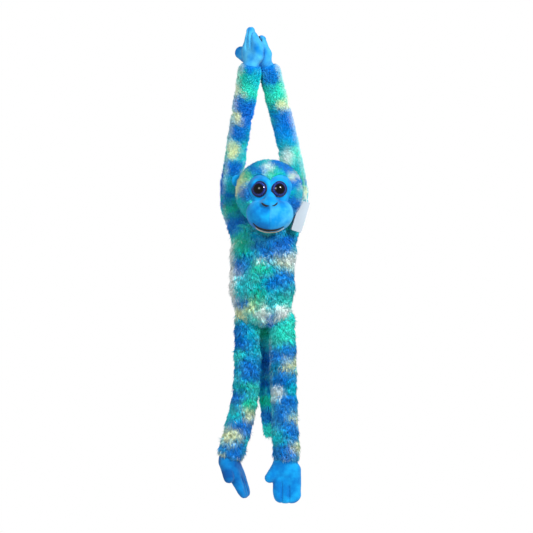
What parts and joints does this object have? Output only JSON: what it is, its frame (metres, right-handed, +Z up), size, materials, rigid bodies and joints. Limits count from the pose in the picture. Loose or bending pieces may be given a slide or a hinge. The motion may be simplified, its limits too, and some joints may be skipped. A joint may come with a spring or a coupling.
{
  "type": "stuffed monkey",
  "caption": "Long-limbed tie-dye plush monkey hanging from its fastened hands, with jointed arms, legs, head and tail.",
  "frame": {"origin": "The point the toy hangs by, just under where the raised arms come together below the joined hands.", "axes": "+Z up along the body, the face looks along -Y, the toy's right side is at -X."},
  "size_m": [0.1259, 0.1203, 0.6467],
  "materials": {
    "long_pile_plush": "long shaggy pile, tie-dyed deep blue, azure, teal, green and pale yellow with whitish tips",
    "short_pile_plush": "short dense pile in the same tie-dye",
    "blue_velour": "very short smooth pile, plain azure blue",
    "stuffing": "loose white polyester fibre",
    "black_thread": "satin-stitched embroidery thread",
    "hook_and_loop": "woven black hook-and-loop tape",
    "eye_plastic": "clear dome over a black pupil",
    "eye_glitter": "navy and violet glitter ring",
    "white_plastic": "moulded nylon",
    "card": "coated white card, blank"
  },
  "bodies": {
    "torso": {"torso_front_right_panel": "long_pile_plush", "torso_front_left_panel": "long_pile_plush", "torso_back_panel": "long_pile_plush", "torso_stuffing": "stuffing"},
    "neck": {"neck_core": "stuffing"},
    "head": {"head_right_panel": "short_pile_plush", "head_left_panel": "short_pile_plush", "head_stuffing": "stuffing", "face_panel": "blue_velour", "muzzle_right_panel": "blue_velour", "muzzle_left_panel": "blue_velour", "muzzle_stuffing": "stuffing", "chin": "short_pile_plush", "nose_and_mouth_stitches": "black_thread", "right_eye_lens": "eye_plastic", "right_eye_iris": "eye_glitter", "right_eye_washer": "white_plastic", "left_eye_lens": "eye_plastic", "left_eye_iris": "eye_glitter", "left_eye_washer": "white_plastic", "right_ear": "blue_velour", "left_ear": "blue_velour", "tag_fastener": "white_plastic"},
    "tag": {"hang_tag": "card"},
    "right_upper_arm": {"right_upper_arm_skin": "short_pile_plush", "right_upper_arm_stuffing": "stuffing"},
    "right_forearm": {"right_forearm_skin": "short_pile_plush", "right_forearm_stuffing": "stuffing"},
    "right_hand": {"right_hand_skin": "blue_velour", "right_hand_stuffing": "stuffing", "hook_patch": "hook_and_loop"},
    "left_upper_arm": {"left_upper_arm_skin": "short_pile_plush", "left_upper_arm_stuffing": "stuffing"},
    "left_forearm": {"left_forearm_skin": "short_pile_plush", "left_forearm_stuffing": "stuffing"},
    "left_hand": {"left_hand_skin": "blue_velour", "left_hand_stuffing": "stuffing", "loop_patch": "hook_and_loop"},
    "right_hip": {"right_hip_core": "stuffing"},
    "right_thigh": {"right_thigh_skin": "long_pile_plush", "right_thigh_stuffing": "stuffing"},
    "right_shin": {"right_shin_skin": "long_pile_plush", "right_shin_stuffing": "stuffing"},
    "right_foot": {"right_foot_skin": "blue_velour", "right_foot_stuffing": "stuffing"},
    "left_hip": {"left_hip_core": "stuffing"},
    "left_thigh": {"left_thigh_skin": "long_pile_plush", "left_thigh_stuffing": "stuffing"},
    "left_shin": {"left_shin_skin": "long_pile_plush", "left_shin_stuffing": "stuffing"},
    "left_foot": {"left_foot_skin": "blue_velour", "left_foot_stuffing": "stuffing"},
    "tail_root": {"tail_root_skin": "long_pile_plush", "tail_root_stuffing": "stuffing"},
    "tail_middle": {"tail_middle_skin": "long_pile_plush", "tail_middle_stuffing": "stuffing"},
    "tail_tip": {"tail_tip_skin": "long_pile_plush", "tail_tip_stuffing": "stuffing"}
  },
  "joints": [
    {"name": "neck_turn", "type": "hinge", "parent": "torso", "child": "neck", "pos_m": [0.0045, -0.014, -0.19], "axis": [0, 0, 1], "range_deg": [-15, 15]},
    {"name": "head_nod", "type": "hinge", "parent": "neck", "child": "head", "pos_m": [0.0045, -0.014, -0.19], "axis": [1, 0, 0], "range_deg": [-3, 22]},
    {"name": "tag_swing", "type": "hinge", "parent": "head", "child": "tag", "pos_m": [0.0575, -0.018, -0.157], "axis": [0, 1, 0], "range_deg": [-45, 0]},
    {"name": "right_shoulder", "type": "hinge", "parent": "torso", "child": "right_upper_arm", "pos_m": [-0.037, 0.01, -0.19], "axis": [0.2588, -0.9659, 0], "range_deg": [0, 95]},
    {"name": "right_elbow", "type": "hinge", "parent": "right_upper_arm", "child": "right_forearm", "pos_m": [-0.038, 0.022, -0.088], "axis": [0.2588, -0.9659, 0], "range_deg": [0, 85]},
    {"name": "right_wrist", "type": "hinge", "parent": "right_forearm", "child": "right_hand", "pos_m": [-0.018, -0.006, 0.026], "axis": [0.7071, -0.7071, 0], "range_deg": [0, 60]},
    {"name": "left_shoulder", "type": "hinge", "parent": "torso", "child": "left_upper_arm", "pos_m": [0.037, 0.01, -0.19], "axis": [0.2588, 0.9659, 0], "range_deg": [0, 95]},
    {"name": "left_elbow", "type": "hinge", "parent": "left_upper_arm", "child": "left_forearm", "pos_m": [0.035, 0.022, -0.088], "axis": [0.2588, 0.9659, 0], "range_deg": [0, 85]},
    {"name": "left_wrist", "type": "hinge", "parent": "left_forearm", "child": "left_hand", "pos_m": [0.007, 0.009, 0.022], "axis": [-0.7071, 0.7071, 0], "range_deg": [0, 60]},
    {"name": "right_hip_swing", "type": "hinge", "parent": "torso", "child": "right_hip", "pos_m": [-0.0245, 0, -0.318], "axis": [-1, 0, 0], "range_deg": [-5, 70]},
    {"name": "right_hip_spread", "type": "hinge", "parent": "right_hip", "child": "right_thigh", "pos_m": [-0.0245, 0, -0.318], "axis": [0, 1, 0], "range_deg": [0, 30]},
    {"name": "right_knee", "type": "hinge", "parent": "right_thigh", "child": "right_shin", "pos_m": [-0.027, 0, -0.418], "axis": [0.9781, 0.2079, 0], "range_deg": [0, 85]},
    {"name": "right_ankle", "type": "hinge", "parent": "right_shin", "child": "right_foot", "pos_m": [-0.047, 0, -0.505], "axis": [-0.0803, -0.9962, -0.0341], "range_deg": [-40, 15]},
    {"name": "left_hip_swing", "type": "hinge", "parent": "torso", "child": "left_hip", "pos_m": [0.0245, 0, -0.318], "axis": [-1, 0, 0], "range_deg": [-5, 70]},
    {"name": "left_hip_spread", "type": "hinge", "parent": "left_hip", "child": "left_thigh", "pos_m": [0.0245, 0, -0.318], "axis": [0, -1, 0], "range_deg": [0, 30]},
    {"name": "left_knee", "type": "hinge", "parent": "left_thigh", "child": "left_shin", "pos_m": [0.027, 0, -0.416], "axis": [0.9781, -0.2079, 0], "range_deg": [0, 85]},
    {"name": "left_ankle", "type": "hinge", "parent": "left_shin", "child": "left_foot", "pos_m": [0.03, 0, -0.508], "axis": [1, 0, 0], "range_deg": [-30, 40]},
    {"name": "tail_lift", "type": "hinge", "parent": "torso", "child": "tail_root", "pos_m": [0, 0.026, -0.303], "axis": [1, 0, 0], "range_deg": [0, 75]},
    {"name": "tail_sway", "type": "hinge", "parent": "tail_root", "child": "tail_middle", "pos_m": [0.001, 0.03, -0.355], "axis": [0, 1, 0], "range_deg": [-35, 35]},
    {"name": "tail_curl", "type": "hinge", "parent": "tail_middle", "child": "tail_tip", "pos_m": [0.003, 0.031, -0.412], "axis": [1, 0, 0], "range_deg": [0, 70]}
  ]
}
